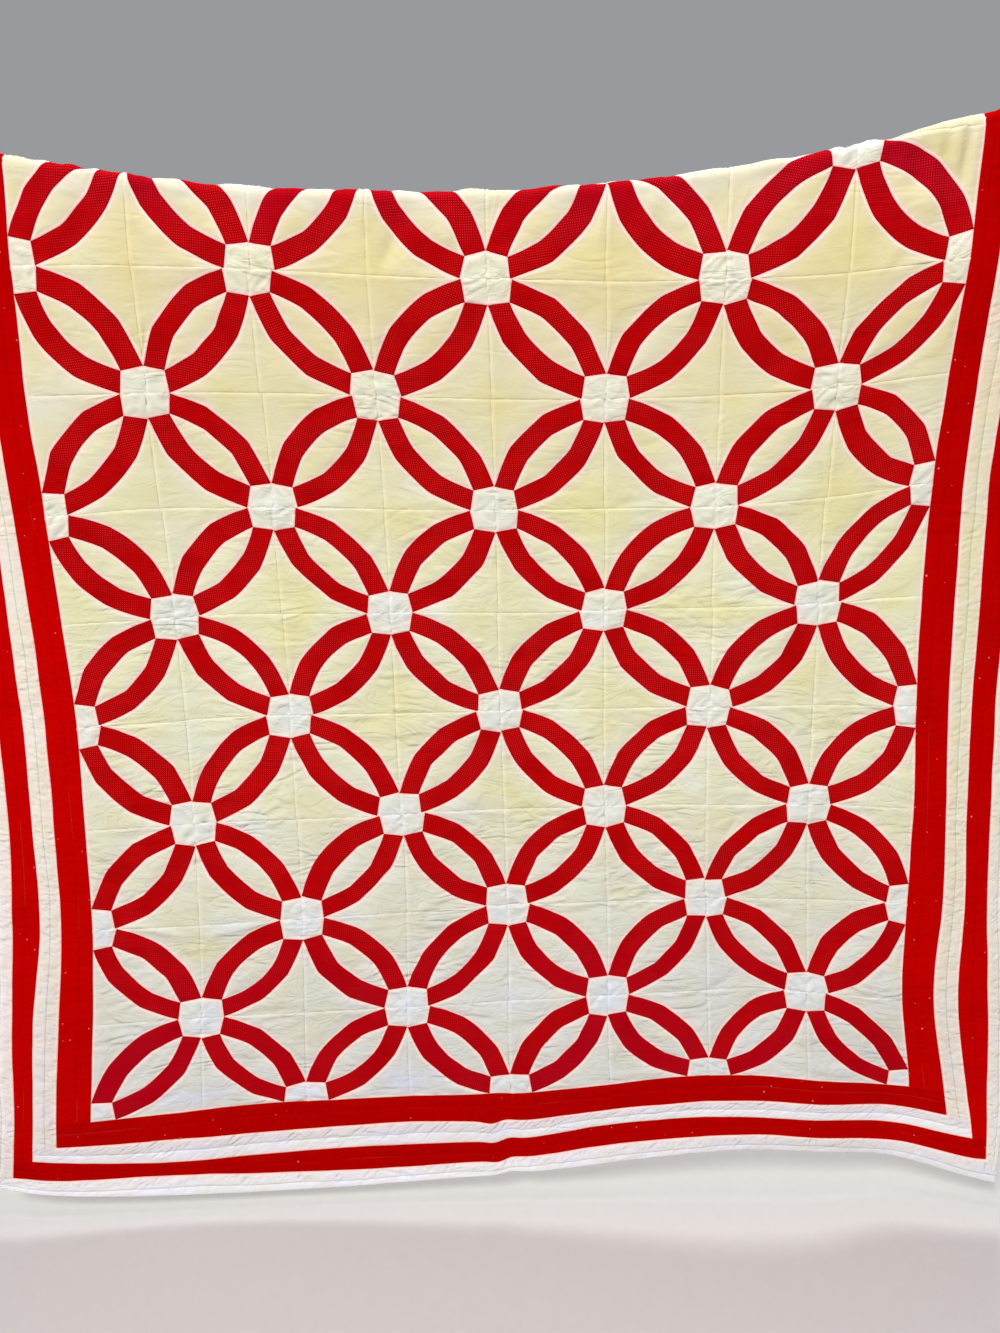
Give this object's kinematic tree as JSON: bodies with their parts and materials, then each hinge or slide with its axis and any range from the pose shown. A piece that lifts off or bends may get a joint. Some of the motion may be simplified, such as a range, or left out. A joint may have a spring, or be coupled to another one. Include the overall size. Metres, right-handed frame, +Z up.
{
  "type": "double wedding ring quilt",
  "caption": "Pieced cotton quilt of interlocking red rings on cream, with red and cream strip borders, hanging folded over a sagging line.",
  "frame": {"origin": "on top of the line that the quilt hangs over, at the middle of the quilt's width, where the inside of the fold touches the line", "axes": "+X to the right along the line seen from the patchwork side, -Y out of the patchwork face, +Z up"},
  "size_m": [1.9327, 0.0959, 1.9524],
  "materials": {
    "cream_cotton": "plain woven, washed and slightly yellowed",
    "white_cotton": "plain woven, washed",
    "red_cotton": "plain woven, dyed through",
    "red_print": "plain woven, printed with pin dots"
  },
  "bodies": {
    "root": {"pieced_middle": "cream_cotton", "inner_red_left": "red_cotton", "inner_red_right": "red_cotton", "inner_red_head": "red_cotton", "inner_red_foot": "red_cotton", "cream_left": "cream_cotton", "cream_right": "cream_cotton", "cream_head": "cream_cotton", "cream_foot": "cream_cotton", "outer_red_left": "red_cotton", "outer_red_right": "red_cotton", "outer_red_head": "red_cotton", "outer_red_foot": "red_cotton", "outer_white_left": "white_cotton", "outer_white_right": "white_cotton", "outer_white_head": "white_cotton", "outer_white_foot": "white_cotton"}
  },
  "joints": []
}
